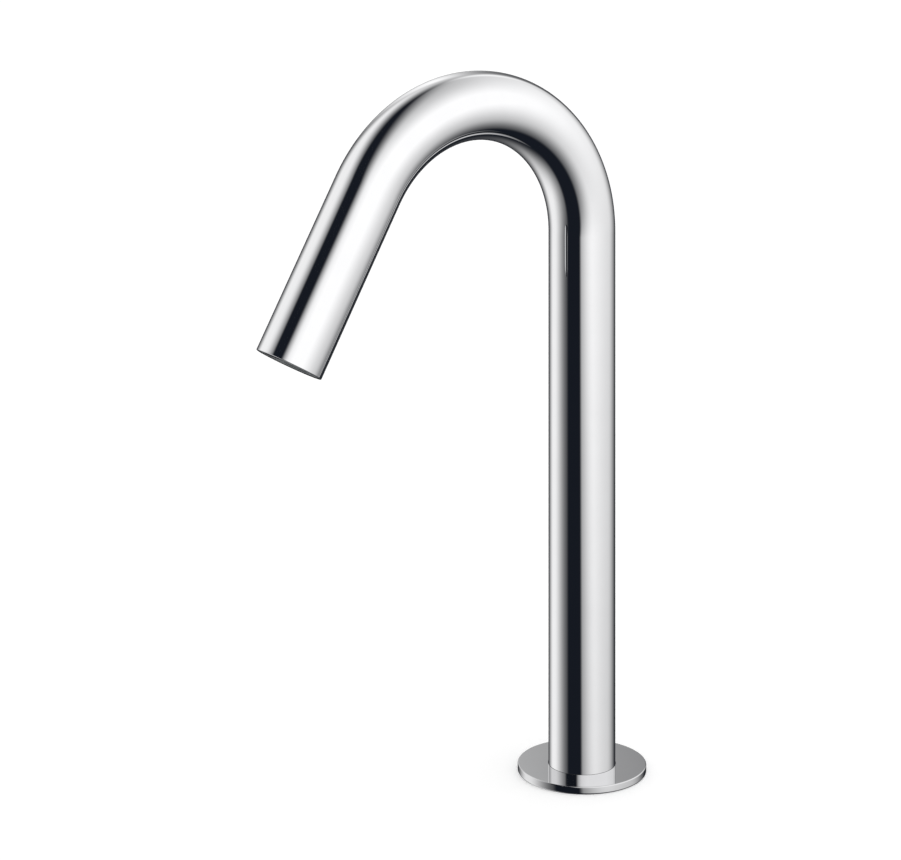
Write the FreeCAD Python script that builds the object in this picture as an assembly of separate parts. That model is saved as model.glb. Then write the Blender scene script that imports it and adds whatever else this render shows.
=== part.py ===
"""Deck-mounted sensor tap: a slim gooseneck spout on a round flange, with no handle.

The spout is one bent tube. Its open end holds a moulded nozzle with the aerator and an infrared
sensor side by side, and a water pipe and the sensor's lead run back through the bend to the foot.
Below the deck a hollow threaded shank carries the washers and the lock nut that clamp the tap.

Millimetres. The origin is on the deck surface, at the centre of the column, with +Z up. The spout
reaches towards -Y, and X = 0 is its plane of symmetry.
"""
import FreeCAD
import Part
import math
import os

Vector = FreeCAD.Vector

# ---- Gooseneck tube ----
tube_od = 32.0
tube_wall = 1.5
bend_start_height = 258.0   # deck surface to the start of the bend
bend_radius = 66.0          # centreline of the tube
bend_sweep = 150.0          # degrees, so the outlet leans 30 degrees from straight down
spout_run = 85.0            # straight length after the bend
rim_round = 0.35            # polished edge of the open end

# ---- Flange and its deck gasket ----
flange_od = 61.5
flange_height = 3.7
flange_edge_round = 0.45
flange_foot_chamfer = 0.3
flange_seat_depth = 0.8     # the column's foot stands this deep in the flange
flange_land = 4.3           # bearing ring left between the bore and the gasket recess
flange_rim = 2.6            # metal left outside the gasket recess
gasket_thickness = 1.2

# ---- Shank ----
shank_od = 28.0             # major diameter of the fine thread
thread_depth = 0.92
thread_relief_length = 2.0
shank_reach = 60.0          # below the deck surface
shank_wall = 3.2
spigot_height = 26.0        # turned end that is brazed into the column
spigot_ring_height = 12.0   # where the O-ring sits on it
shank_end_chamfer = 1.0
foot_bore_step = 0.6        # the bore is this much wider in radius round the foot cap
foot_bore_run_out = 1.0     # and carries on this far past the small nut on the cap

# ---- Deck clamp ----
deck_thickness = 20.0       # as clamped in the rest position
clamp_gasket_od = 48.0
clamp_gasket_thickness = 3.0
clamp_washer_od = 50.0
clamp_washer_thickness = 2.0
nut_across_flats = 38.0
nut_height = 9.0
nut_bevel = 0.9

# ---- O-rings ----
o_ring_section = 1.36
o_ring_groove_width = 1.9
o_ring_groove_depth = 1.4

# ---- Nozzle in the open end of the spout (depths are measured inwards from the rim) ----
nozzle_recess = 0.3
nozzle_length = 23.0
nozzle_ring_depth = 17.5
aerator_wall = 1.6          # nozzle wall outside the aerator's socket
pipe_spigot_length = 12.0
pipe_spigot_bore = 3.6
stop_ring_height = 4.5
stop_ring_wall = 1.9
stop_lug_reach = 4.8
stop_lug_width = 6.0
screw_span = 22.4           # between the two nozzle screws
screw_offset = -1.8         # towards the sensor side
screw_diameter = 2.0
screw_head_diameter = 3.8
screw_head_height = 2.0
screw_key_across_flats = 1.5
screw_key_depth = 1.1
screw_length = 24.0

# ---- Aerator cartridge ----
aerator_thread_od = 16.5
aerator_lip = 2.05          # the lip below the honeycomb is this much smaller than the thread in radius
aerator_lip_height = 1.0
aerator_shell_wall = 1.55
key_notch_count = 6         # notches for the key that unscrews the cartridge
key_notch_width = 2.0
key_notch_reach = 1.05      # inwards from the crest of the thread
key_notch_depth = 0.8
honeycomb_height = 2.0
honeycomb_pitch = 1.6
honeycomb_web = 0.3
honeycomb_rim = 0.75
regulator_height = 2.4      # the honeycomb and the regulator fill the housing above its lip
regulator_hole_count = 12
regulator_hole_diameter = 0.8
regulator_hub_diameter = 4.0
regulator_hub_height = 0.7
screen_rim_height = 0.6
screen_dome_height = 2.2
screen_thickness = 0.35
seal_thickness = 1.2
mixing_chamber_depth = 3.4
chamber_cone_depth = 2.0

# ---- Sensor ----
pocket_wall = 0.9           # nozzle wall outside the sensor's pocket, at the O-ring groove
pocket_web = 1.45           # wall between the aerator's socket and the pocket
pocket_corner = 1.2
case_wall = 0.9
window_thickness = 1.6
window_step = 0.8
diode_diameter = 3.0
diode_flange_diameter = 3.3
diode_flange_height = 0.5
diode_length = 4.0
diode_spacing = 9.6
diode_leg = 0.45
diode_leg_length = 1.4
board_thickness = 0.8
board_length = 10.0
chip_length = 4.0
chip_width = 3.6
chip_height = 0.9
grommet_flange_height = 1.2
grommet_wall = 0.8
grommet_lip = 0.4

# ---- Water pipe and sensor lead ----
pipe_od = 8.0
pipe_bore = 5.5
pipe_gap = 1.0              # end of the pipe to the shoulder it is pushed towards
crimp_wall = 0.7
crimp_length = 9.0
lead_od = 3.2
lead_offset = 8.0           # outside of the bend, so at the back of the column
clip_height = 6.0
clip_wall = 1.2
clip_fin = 1.2
clip_column_heights = (70.0, 190.0)
clip_bend_angles = (75.0,)
clip_spout_runs = (42.0,)

# ---- Foot of the shank ----
cap_od = 26.0
cap_flange_height = 2.5
cap_spigot_length = 12.0
inlet_thread_od = 14.29
inlet_thread_length = 12.0
inlet_across_flats = 15.0
inlet_hex_height = 4.5
inlet_barrel_od = 9.0
inlet_bore = 3.6
barb_length = 12.0
barrel_top_margin = 2.0     # barrel above the small nut
inlet_nut_across_flats = 11.0
inlet_nut_height = 3.0
socket_barrel_od = 4.8
socket_head_od = 6.8
socket_head_height = 4.0
socket_recess_od = 5.0
socket_recess_depth = 3.2
contact_count = 3
contact_diameter = 0.7
contact_circle = 2.4
contact_length = 2.6

# ---- Clearances, on the radius unless a comment says otherwise ----
brazed_fit = 0.02
press_fit_gap = 0.02
turned_fit = 0.05
moulded_fit = 0.1
soft_fit = 0.15
seat_fit = 0.05             # column foot in the flange
overcut = 1.0               # how far a cutting tool runs past the face it cuts

# ---- Sizes that follow ----
tube_r = tube_od / 2
bore_r = tube_r - tube_wall
shank_r = shank_od / 2
shank_bore_r = shank_r - shank_wall
foot_bore_r = shank_bore_r + foot_bore_step
foot_bore_top_z = -shank_reach + cap_spigot_length + inlet_nut_height + foot_bore_run_out
column_foot_z = flange_height - flange_seat_depth
flange_bore_r = shank_r + moulded_fit + turned_fit
nozzle_r = bore_r - turned_fit
groove_floor_r = nozzle_r - o_ring_groove_depth
thread_r = aerator_thread_od / 2
aerator_height = aerator_lip_height + honeycomb_height + regulator_height
socket_r = thread_r + turned_fit
aerator_offset = nozzle_r - aerator_wall - socket_r
pipe_r = pipe_od / 2
spigot_r = pipe_bore / 2 - turned_fit
lead_r = lead_od / 2
pocket_r = groove_floor_r - pocket_wall
pocket_chord = socket_r - aerator_offset + pocket_web
nozzle_back = nozzle_recess + nozzle_length
seal_seat_depth = nozzle_recess + aerator_height + seal_thickness
clamp_top_z = -deck_thickness
washer_top_z = clamp_top_z - clamp_gasket_thickness
nut_top_z = washer_top_z - clamp_washer_thickness
cap_top_z = -shank_reach + cap_spigot_length
cap_bottom_z = -shank_reach - cap_flange_height
barrel_top_z = cap_top_z + inlet_nut_height + barrel_top_margin


# ---- Basic shapes ----
def rod(radius, low, high, x=0.0, y=0.0):
    """Upright cylinder from one height to another."""
    return Part.makeCylinder(radius, high - low, Vector(x, y, low))


def ring(outer, inner, low, high, x=0.0, y=0.0):
    """Upright ring with a plain bore."""
    bore = rod(inner, low - overcut, high + overcut, x, y)
    return rod(outer, low, high, x, y).cut(bore)


def turned(profile, x=0.0, y=0.0):
    """Solid of revolution about the upright axis, from (radius, height) corners."""
    corners = [Vector(radius, 0, height) for radius, height in profile]
    face = Part.Face(Part.makePolygon(corners + corners[:1]))
    solid = face.revolve(Vector(0, 0, 0), Vector(0, 0, 1), 360)
    solid.translate(Vector(x, y, 0))
    return solid


def hexagon(across_flats, low, high, x=0.0, y=0.0, turn=0.0):
    """Upright hexagonal bar; with no turn, two of its flats face along Y."""
    corner_r = across_flats / 2 / math.cos(math.pi / 6)
    corners = []
    for side in range(6):
        angle = math.radians(60 * side + turn)
        corners.append(Vector(x + corner_r * math.cos(angle), y + corner_r * math.sin(angle), low))
    face = Part.Face(Part.makePolygon(corners + corners[:1]))
    return face.extrude(Vector(0, 0, high - low))


def o_ring(middle_r, height):
    """O-ring lying round the upright axis."""
    return Part.makeTorus(middle_r, o_ring_section / 2, Vector(0, 0, height))


def groove(outer_r, height):
    """Tool that cuts an O-ring groove into a turned surface."""
    low = height - o_ring_groove_width / 2
    high = height + o_ring_groove_width / 2
    return ring(outer_r + overcut, outer_r - o_ring_groove_depth, low, high)


def round_edges(solid, height):
    """The full circles that lie level at this height."""
    rims = []
    for edge in solid.Edges:
        level = abs(edge.BoundBox.ZMin - height) < 1e-6 and abs(edge.BoundBox.ZMax - height) < 1e-6
        if level and edge.isClosed():
            rims.append(edge)
    return rims


# ---- The gooseneck's centreline ----
def neck_path(start_z, run, offset=0.0):
    """Wire up the column, round the bend and down the spout. A positive offset is the outside of the bend."""
    radius = bend_radius + offset
    sweep = math.radians(bend_sweep)

    def on_bend(angle):
        y = -bend_radius + radius * math.cos(angle)
        return Vector(0, y, bend_start_height + radius * math.sin(angle))

    down_spout = Vector(0, -math.sin(sweep), math.cos(sweep))
    bend_end = on_bend(sweep)
    foot = Vector(0, offset, start_z)
    return Part.Wire([
        Part.LineSegment(foot, on_bend(0)).toShape(),
        Part.Arc(on_bend(0), on_bend(sweep / 2), bend_end).toShape(),
        Part.LineSegment(bend_end, bend_end + down_spout * run).toShape(),
    ])


def swept(radius, start_z, run, offset=0.0):
    """Round bar that follows the gooseneck."""
    circle = Part.makeCircle(radius, Vector(0, offset, start_z), Vector(0, 0, 1))
    return neck_path(start_z, run, offset).makePipeShell([Part.Wire([circle])], True, False)


def across_neck(angle, run=0.0):
    """Placement of a piece drawn about +Z: at this angle of the bend, then this far on along the tangent."""
    turn = math.radians(angle)
    y = -bend_radius + bend_radius * math.cos(turn) - run * math.sin(turn)
    z = bend_start_height + bend_radius * math.sin(turn) + run * math.cos(turn)
    return FreeCAD.Placement(Vector(0, y, z), FreeCAD.Rotation(Vector(1, 0, 0), angle))


def in_outlet(solid):
    """Moves a piece drawn with the rim at z = 0 and +Z inwards into the open end; +Y is the bend's inside."""
    placed = solid.copy()
    rim = across_neck(bend_sweep, spout_run)
    outlet = FreeCAD.Placement(rim.Base, FreeCAD.Rotation(Vector(1, 0, 0), bend_sweep - 180))
    placed.Placement = outlet.multiply(placed.Placement)
    return placed


# ---- Gooseneck, flange and deck seal ----
def spout_tube():
    outer = swept(tube_r, column_foot_z, spout_run)
    inner = swept(bore_r, column_foot_z - overcut, spout_run + overcut)
    tube = outer.cut(inner)
    rim_centre = across_neck(bend_sweep, spout_run).Base
    rims = []
    for edge in tube.Edges:
        if edge.Curve.TypeId == "Part::GeomCircle" and abs(edge.Curve.Radius - tube_r) < 1e-3:
            if edge.Curve.Center.distanceToPoint(rim_centre) < 1e-3:
                rims.append(edge)
    return tube.makeFillet(rim_round, rims)


def base_flange():
    outer_r = flange_od / 2
    disc = rod(outer_r, 0, flange_height)
    disc = disc.makeFillet(flange_edge_round, round_edges(disc, flange_height))
    disc = disc.makeChamfer(flange_foot_chamfer, round_edges(disc, 0))
    disc = disc.cut(rod(flange_bore_r, -overcut, flange_height + overcut))
    disc = disc.cut(rod(tube_r + seat_fit, column_foot_z, flange_height + overcut))
    recess_inner = flange_bore_r + flange_land
    recess = ring(outer_r - flange_rim, recess_inner, -overcut, gasket_thickness)
    return disc.cut(recess)


def flange_gasket():
    inner = flange_bore_r + flange_land + moulded_fit
    return ring(flange_od / 2 - flange_rim - moulded_fit, inner, 0, gasket_thickness)


# ---- Shank ----
def shank():
    spigot_r_out = bore_r - brazed_fit
    top = column_foot_z + spigot_height
    relief_r = shank_r - thread_depth
    body = turned([
        (shank_bore_r, top),
        (spigot_r_out - shank_end_chamfer, top),
        (spigot_r_out, top - shank_end_chamfer),
        (spigot_r_out, column_foot_z),
        (shank_r, column_foot_z),
        (shank_r, 0),
        (relief_r, 0),
        (relief_r, -thread_relief_length),
        (shank_r, -thread_relief_length - thread_depth),
        (shank_r, -shank_reach + shank_end_chamfer),
        (shank_r - shank_end_chamfer, -shank_reach),
        (foot_bore_r, -shank_reach),
        (foot_bore_r, foot_bore_top_z),
        (shank_bore_r, foot_bore_top_z),
    ])
    return body.cut(groove(spigot_r_out, column_foot_z + spigot_ring_height))


def shank_o_ring():
    middle = bore_r - o_ring_groove_depth + o_ring_section / 2
    return o_ring(middle, column_foot_z + spigot_ring_height)


# ---- Deck clamp ----
def clamp_gasket():
    return ring(clamp_gasket_od / 2, shank_r + soft_fit, washer_top_z, clamp_top_z)


def clamp_washer():
    return ring(clamp_washer_od / 2, shank_r + soft_fit, nut_top_z, washer_top_z)


def lock_nut():
    low = nut_top_z - nut_height
    corner_r = nut_across_flats / 2 / math.cos(math.pi / 6)
    bar = hexagon(nut_across_flats, low, nut_top_z)
    bevelled = turned([
        (0, low),
        (corner_r - nut_bevel * 2, low),
        (corner_r, low + nut_bevel),
        (corner_r, nut_top_z - nut_bevel),
        (corner_r - nut_bevel * 2, nut_top_z),
        (0, nut_top_z),
    ])
    bore = rod(shank_r + turned_fit, low - overcut, nut_top_z + overcut)
    return bar.common(bevelled).cut(bore)


# ---- Nozzle ----
def sensor_outline(inset, low, high):
    """Upright bar with the outline of the sensor's pocket: a rounded segment of a circle."""
    disc = rod(pocket_r - inset, low, high)
    chord = -pocket_chord - inset
    width = 2 * pocket_r
    keep = Part.makeBox(width, width, high - low, Vector(-width / 2, chord - width, low))
    bar = disc.common(keep)
    corners = [e for e in bar.Edges if e.BoundBox.XLength < 1e-6 and e.BoundBox.ZLength > 1e-6]
    return bar.makeFillet(max(pocket_corner - inset, 0.2), corners)


def nozzle_body():
    body = rod(nozzle_r, nozzle_recess, nozzle_back)
    body = body.cut(groove(nozzle_r, nozzle_ring_depth))
    spigot = rod(spigot_r, nozzle_back, nozzle_back + pipe_spigot_length, 0, aerator_offset)
    body = body.fuse(spigot)
    chamber_r = thread_r - aerator_shell_wall
    chamber_end = seal_seat_depth + mixing_chamber_depth
    cone_end = chamber_end + chamber_cone_depth
    end = nozzle_back + pipe_spigot_length
    water_way = turned([
        (0, nozzle_recess - overcut),
        (socket_r, nozzle_recess - overcut),
        (socket_r, seal_seat_depth),
        (chamber_r, seal_seat_depth),
        (chamber_r, chamber_end),
        (pipe_spigot_bore / 2, cone_end),
        (pipe_spigot_bore / 2, end + overcut),
        (0, end + overcut),
    ], 0, aerator_offset)
    body = body.cut(water_way)
    body = body.cut(sensor_outline(0, nozzle_recess - overcut, nozzle_back + overcut))
    head_seat = nozzle_recess + screw_head_height + moulded_fit
    for side in (-1, 1):
        x = side * screw_span / 2
        shaft = rod(screw_diameter / 2 + moulded_fit, 0, nozzle_back + overcut, x, screw_offset)
        head = rod(screw_head_diameter / 2 + moulded_fit, 0, head_seat, x, screw_offset)
        body = body.cut(shaft).cut(head)
    return body


def nozzle_o_ring():
    middle = bore_r - o_ring_groove_depth - turned_fit + o_ring_section / 2
    return o_ring(middle, nozzle_ring_depth)


def nozzle_stop_ring():
    top = nozzle_back + stop_ring_height
    outer = bore_r - brazed_fit
    band = ring(outer, outer - stop_ring_wall, nozzle_back, top)
    disc = rod(outer, nozzle_back, top)
    low_y = screw_offset - stop_lug_width / 2
    for start in (-outer, outer - stop_lug_reach):
        corner = Vector(start, low_y, nozzle_back)
        lug = Part.makeBox(stop_lug_reach, stop_lug_width, stop_ring_height, corner)
        band = band.fuse(disc.common(lug))
    tapped_r = screw_diameter / 2 + press_fit_gap
    for x in (-screw_span / 2, screw_span / 2):
        band = band.cut(rod(tapped_r, 0, top + overcut, x, screw_offset))
    return band.removeSplitter()


def nozzle_screws():
    top = nozzle_recess + screw_head_height + moulded_fit
    face = top - screw_head_height
    screws = []
    for side in (-1, 1):
        x = side * screw_span / 2
        head = rod(screw_head_diameter / 2, face, top, x, screw_offset)
        shaft = rod(screw_diameter / 2, top, top + screw_length, x, screw_offset)
        key = hexagon(screw_key_across_flats, face - overcut, face + screw_key_depth, x, screw_offset)
        screws.append(head.fuse(shaft).cut(key))
    return Part.Compound(screws)


# ---- Aerator ----
def aerator_housing():
    low = nozzle_recess
    high = low + aerator_height
    shell_r = thread_r - aerator_shell_wall
    shell = turned([
        (thread_r - aerator_lip, low),
        (thread_r, low),
        (thread_r, high),
        (shell_r, high),
        (shell_r, low + aerator_lip_height),
        (thread_r - aerator_lip, low + aerator_lip_height),
    ], 0, aerator_offset)
    corner = Vector(thread_r - key_notch_reach, -key_notch_width / 2, low - overcut)
    for index in range(key_notch_count):
        notch = Part.makeBox(key_notch_reach + overcut, key_notch_width, key_notch_depth + overcut, corner)
        notch.rotate(Vector(0, 0, 0), Vector(0, 0, 1), 360 * index / key_notch_count)
        notch.translate(Vector(0, aerator_offset, 0))
        shell = shell.cut(notch)
    return shell


def cartridge_r():
    """Radius of the parts that are stacked inside the aerator's housing."""
    return thread_r - aerator_shell_wall - turned_fit


def aerator_grid():
    """Honeycomb that straightens the stream."""
    low = nozzle_recess + aerator_lip_height
    high = low + honeycomb_height
    disc = rod(cartridge_r(), low, high)
    flats = honeycomb_pitch - honeycomb_web
    reach = cartridge_r() - honeycomb_rim - flats / math.sqrt(3)
    row_height = honeycomb_pitch * math.sqrt(3) / 2
    rows = int(reach / row_height)
    cells = []
    for row in range(-rows, rows + 1):
        shift = honeycomb_pitch / 2 if row % 2 else 0.0
        columns = int(reach / honeycomb_pitch) + 1
        for column in range(-columns, columns + 1):
            x = column * honeycomb_pitch + shift
            y = row * row_height
            if math.hypot(x, y) <= reach:
                cells.append(hexagon(flats, low - overcut, high + overcut, x, y, 30))
    grid = disc.cut(Part.Compound(cells))
    grid.translate(Vector(0, aerator_offset, 0))
    return grid


def flow_regulator():
    """Disc with a ring of metering holes round a low hub."""
    low = nozzle_recess + aerator_lip_height + honeycomb_height
    high = nozzle_recess + aerator_height
    disc = rod(cartridge_r(), low, high)
    disc = disc.fuse(rod(regulator_hub_diameter / 2, high, high + regulator_hub_height))
    circle_r = (cartridge_r() + regulator_hub_diameter / 2) / 2
    for index in range(regulator_hole_count):
        angle = 2 * math.pi * index / regulator_hole_count
        x = circle_r * math.cos(angle)
        y = circle_r * math.sin(angle)
        disc = disc.cut(rod(regulator_hole_diameter / 2, low - overcut, high + overcut, x, y))
    disc.translate(Vector(0, aerator_offset, 0))
    return disc


def aerator_screen():
    """Domed strainer that stands on the regulator."""
    low = nozzle_recess + aerator_height
    rim_top = low + screen_rim_height
    outer_r = cartridge_r() - screen_thickness
    dome_r = (outer_r ** 2 + screen_dome_height ** 2) / (2 * screen_dome_height)

    def cap(radius, height, sphere_r):
        ball = Part.makeSphere(sphere_r, Vector(0, 0, rim_top + height - sphere_r))
        return rod(radius, rim_top, rim_top + height).common(ball)

    inner_r = outer_r - screen_thickness
    shell = rod(cartridge_r(), low, rim_top).fuse(cap(outer_r, screen_dome_height, dome_r))
    hollow = rod(inner_r, low - overcut, rim_top)
    hollow = hollow.fuse(cap(inner_r, screen_dome_height - screen_thickness, dome_r))
    shell = shell.cut(hollow)
    shell.translate(Vector(0, aerator_offset, 0))
    return shell


def aerator_seal():
    low = nozzle_recess + aerator_height
    inner = cartridge_r() + moulded_fit + soft_fit
    return ring(socket_r - soft_fit, inner, low, low + seal_thickness, 0, aerator_offset)


# ---- Sensor ----
case_front = nozzle_recess + window_thickness
case_back = nozzle_back
cavity_inset = moulded_fit + case_wall
cavity_back = case_back - case_wall
diode_y = -(pocket_chord + cavity_inset + diode_flange_diameter / 2 + moulded_fit)
diode_tip = case_front + window_step + moulded_fit
diode_back = diode_tip + diode_length
board_front = diode_back + diode_leg_length


def sensor_case():
    shell = sensor_outline(moulded_fit, case_front, case_back)
    shell = shell.cut(sensor_outline(cavity_inset, case_front - overcut, cavity_back))
    gland = rod(lead_r + grommet_wall, cavity_back - overcut, case_back + overcut, 0, -lead_offset)
    return shell.cut(gland)


def sensor_window():
    pane = sensor_outline(moulded_fit, nozzle_recess, case_front)
    step = sensor_outline(cavity_inset + moulded_fit, case_front, case_front + window_step)
    return pane.fuse(step).removeSplitter()


def diode(x):
    """Round 3 mm diode, lens towards the window, with two square legs to the board."""
    lens_r = diode_diameter / 2
    lens_start = diode_tip + lens_r
    body = Part.makeSphere(lens_r, Vector(x, diode_y, lens_start))
    body = body.fuse(rod(lens_r, lens_start, diode_back, x, diode_y))
    body = body.fuse(rod(diode_flange_diameter / 2, diode_back - diode_flange_height, diode_back, x, diode_y))
    for side in (-1, 1):
        corner = Vector(x + side * lens_r / 2 - diode_leg / 2, diode_y - diode_leg / 2, diode_back)
        body = body.fuse(Part.makeBox(diode_leg, diode_leg, diode_leg_length, corner))
    return body.removeSplitter()


def sensor_board():
    face_y = -diode_y + board_thickness / 2
    cavity_r = pocket_r - cavity_inset
    half_width = math.sqrt(cavity_r ** 2 - face_y ** 2) - soft_fit
    corner = Vector(-half_width, diode_y - board_thickness / 2, board_front)
    return Part.makeBox(2 * half_width, board_thickness, board_length, corner)


def board_chip():
    y = diode_y - board_thickness / 2 - chip_height
    low = board_front + board_length / 2 - chip_length / 2
    return Part.makeBox(chip_width, chip_height, chip_length, Vector(-chip_width / 2, y, low))


def lead_grommet():
    inner = lead_r + press_fit_gap
    outer = lead_r + grommet_wall
    top = case_back + grommet_flange_height
    sleeve = ring(outer - turned_fit, inner, cavity_back, case_back, 0, -lead_offset)
    flange = ring(outer + grommet_lip, inner, case_back, top, 0, -lead_offset)
    return sleeve.fuse(flange).removeSplitter()


# ---- Water pipe and sensor lead ----
def hollow_run(outer_r, inner_r, start_z, run, offset):
    inner = swept(inner_r, start_z - overcut, run + overcut, offset)
    return swept(outer_r, start_z, run, offset).cut(inner)


def water_pipe():
    run = spout_run - nozzle_back - pipe_gap
    return hollow_run(pipe_r, pipe_bore / 2, barrel_top_z + pipe_gap, run, -aerator_offset)


def crimp_sleeves():
    outer = pipe_r + turned_fit + crimp_wall
    inner = pipe_r + turned_fit
    low = barrel_top_z + 2 * pipe_gap
    foot = ring(outer, inner, low, low + crimp_length, 0, -aerator_offset)
    start = nozzle_back + 2 * pipe_gap
    top = in_outlet(ring(outer, inner, start, start + crimp_length, 0, aerator_offset))
    return Part.Compound([foot, top])


def sensor_lead():
    run = spout_run - board_front - board_length - brazed_fit
    return swept(lead_r, cap_top_z, run, lead_offset)


def lead_clip():
    """Spacer that holds the lead beside the pipe and stands off the tube's wall. +Y is the bend's outside."""
    half = clip_height / 2
    pipe_y = -aerator_offset
    pipe_hole = pipe_r + soft_fit
    lead_hole = lead_r + soft_fit
    body = rod(pipe_hole + clip_wall, -half, half, 0, pipe_y)
    body = body.fuse(rod(lead_hole + clip_wall, -half, half, 0, lead_offset))
    web = Part.makeBox(clip_fin, lead_offset - pipe_y, clip_height, Vector(-clip_fin / 2, pipe_y, -half))
    body = body.fuse(web)
    reach = bore_r - moulded_fit
    fins = Part.makeBox(2 * reach, clip_fin, clip_height, Vector(-reach, pipe_y - clip_fin / 2, -half))
    heel = Part.makeBox(clip_fin, reach + pipe_y, clip_height, Vector(-clip_fin / 2, -reach, -half))
    body = body.fuse(fins).fuse(heel).common(rod(reach, -half, half))
    low = -half - overcut
    high = half + overcut
    body = body.cut(rod(pipe_hole, low, high, 0, pipe_y))
    body = body.cut(rod(lead_hole, low, high, 0, lead_offset))
    mouth = Part.makeBox(lead_od, reach, high - low, Vector(-lead_r, lead_offset, low))
    return body.cut(mouth).removeSplitter()


def lead_clips():
    places = [across_neck(0, height - bend_start_height) for height in clip_column_heights]
    places += [across_neck(angle) for angle in clip_bend_angles]
    places += [across_neck(bend_sweep, run) for run in clip_spout_runs]
    clips = []
    for place in places:
        clip = lead_clip()
        clip.Placement = place
        clips.append(clip)
    return Part.Compound(clips)


# ---- Foot of the shank ----
def foot_cap():
    cap = rod(foot_bore_r - press_fit_gap, -shank_reach, cap_top_z)
    cap = cap.fuse(rod(cap_od / 2, cap_bottom_z, -shank_reach)).removeSplitter()
    low = cap_bottom_z - overcut
    high = cap_top_z + overcut
    inlet_hole = rod(inlet_barrel_od / 2 + turned_fit, low, high, 0, -aerator_offset)
    lead_hole = rod(socket_barrel_od / 2 + turned_fit, low, high, 0, lead_offset)
    return cap.cut(inlet_hole).cut(lead_hole)


def inlet_nipple():
    hex_low = cap_bottom_z - inlet_hex_height
    thread_low = hex_low - inlet_thread_length
    barb_top = barrel_top_z + barb_length
    y = -aerator_offset
    nipple = hexagon(inlet_across_flats, hex_low, cap_bottom_z, 0, y)
    nipple = nipple.fuse(rod(inlet_thread_od / 2, thread_low, hex_low, 0, y))
    nipple = nipple.fuse(rod(inlet_barrel_od / 2, cap_bottom_z, barrel_top_z, 0, y))
    nipple = nipple.fuse(rod(spigot_r, barrel_top_z, barb_top, 0, y))
    return nipple.cut(rod(inlet_bore / 2, thread_low - overcut, barb_top + overcut, 0, y))


def inlet_nut():
    y = -aerator_offset
    high = cap_top_z + inlet_nut_height
    hole_r = inlet_barrel_od / 2 + press_fit_gap
    nut = hexagon(inlet_nut_across_flats, cap_top_z, high, 0, y)
    return nut.cut(rod(hole_r, cap_top_z - overcut, high + overcut, 0, y))


def lead_socket():
    head_low = cap_bottom_z - socket_head_height
    body = rod(socket_barrel_od / 2, cap_bottom_z, cap_top_z, 0, lead_offset)
    body = body.fuse(rod(socket_head_od / 2, head_low, cap_bottom_z, 0, lead_offset))
    recess = rod(socket_recess_od / 2, head_low - overcut, head_low + socket_recess_depth, 0, lead_offset)
    return body.cut(recess)


def socket_contacts():
    floor = cap_bottom_z - socket_head_height + socket_recess_depth
    pins = []
    for index in range(contact_count):
        angle = 2 * math.pi * index / contact_count + math.pi / 2
        x = contact_circle / 2 * math.cos(angle)
        y = lead_offset + contact_circle / 2 * math.sin(angle)
        pins.append(rod(contact_diameter / 2, floor - contact_length, floor, x, y))
    return Part.Compound(pins)


def export(name, solid):
    for piece in solid.Solids:
        if not piece.isValid() or piece.Volume <= 0:
            raise ValueError(name + " has a solid that isn't sound")
    solid.exportStep(os.path.join("parts", name + ".step"))


def main():
    os.makedirs("parts", exist_ok=True)
    upright = [
        spout_tube, base_flange, flange_gasket, shank, shank_o_ring,
        clamp_gasket, clamp_washer, lock_nut,
        water_pipe, crimp_sleeves, sensor_lead, lead_clips,
        foot_cap, inlet_nipple, inlet_nut, lead_socket, socket_contacts,
    ]
    for make in upright:
        export(make.__name__, make())
    leaning = [
        nozzle_body, nozzle_o_ring, nozzle_stop_ring, nozzle_screws,
        aerator_housing, aerator_grid, flow_regulator, aerator_screen, aerator_seal,
        sensor_case, sensor_window, sensor_board, board_chip, lead_grommet,
    ]
    for make in leaning:
        export(make.__name__, in_outlet(make()))
    export("emitter_diode", in_outlet(diode(-diode_spacing / 2)))
    export("receiver_diode", in_outlet(diode(diode_spacing / 2)))


main()
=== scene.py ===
import math

import bmesh
import bpy
from mathutils import Matrix, Vector


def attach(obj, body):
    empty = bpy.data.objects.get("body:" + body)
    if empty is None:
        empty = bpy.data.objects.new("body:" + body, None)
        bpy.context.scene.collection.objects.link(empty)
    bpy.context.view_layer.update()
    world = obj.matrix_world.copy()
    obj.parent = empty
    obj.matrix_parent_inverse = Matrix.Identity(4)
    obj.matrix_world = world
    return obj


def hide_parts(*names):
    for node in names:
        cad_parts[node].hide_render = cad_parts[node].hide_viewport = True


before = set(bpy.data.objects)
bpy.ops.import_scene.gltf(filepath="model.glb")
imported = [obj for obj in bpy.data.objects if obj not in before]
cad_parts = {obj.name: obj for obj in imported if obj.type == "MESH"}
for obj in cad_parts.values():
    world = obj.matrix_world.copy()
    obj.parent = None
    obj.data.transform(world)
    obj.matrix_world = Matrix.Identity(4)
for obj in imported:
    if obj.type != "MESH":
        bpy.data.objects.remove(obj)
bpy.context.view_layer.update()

scene = bpy.context.scene
scene.view_settings.view_transform = "Standard"

# ---- Sizes in millimetres, as in the part's source where that has them ----
# Tube
tube_r = 16.0
tube_wall = 1.5
column_foot = 2.9            # where the column stands, in the flange's seat
bend_start = 258.0
bend_radius = 66.0
bend_sweep = 150.0           # degrees
spout_run = 85.0
rim_round = 0.35
fine_round = 0.12            # on the mouth's inner edge and on the seat's
# Flange, and the black bead in its seat that paints the joint's shade line
flange_r = 30.75
flange_height = 3.7
flange_bore_r = 14.15
flange_seat_r = 16.05
flange_edge_round = 0.45
flange_foot_round = 0.8      # in the source the foot has a chamfer of 0.3
gasket_recess = (18.45, 28.15, 1.2)     # inner and outer radius, height
shade_bead_ring = (15.95, 16.2, 3.5, 3.78)    # inner and outer radius, foot and top
shade_bead_slope = (0.06, 0.04)
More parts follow.
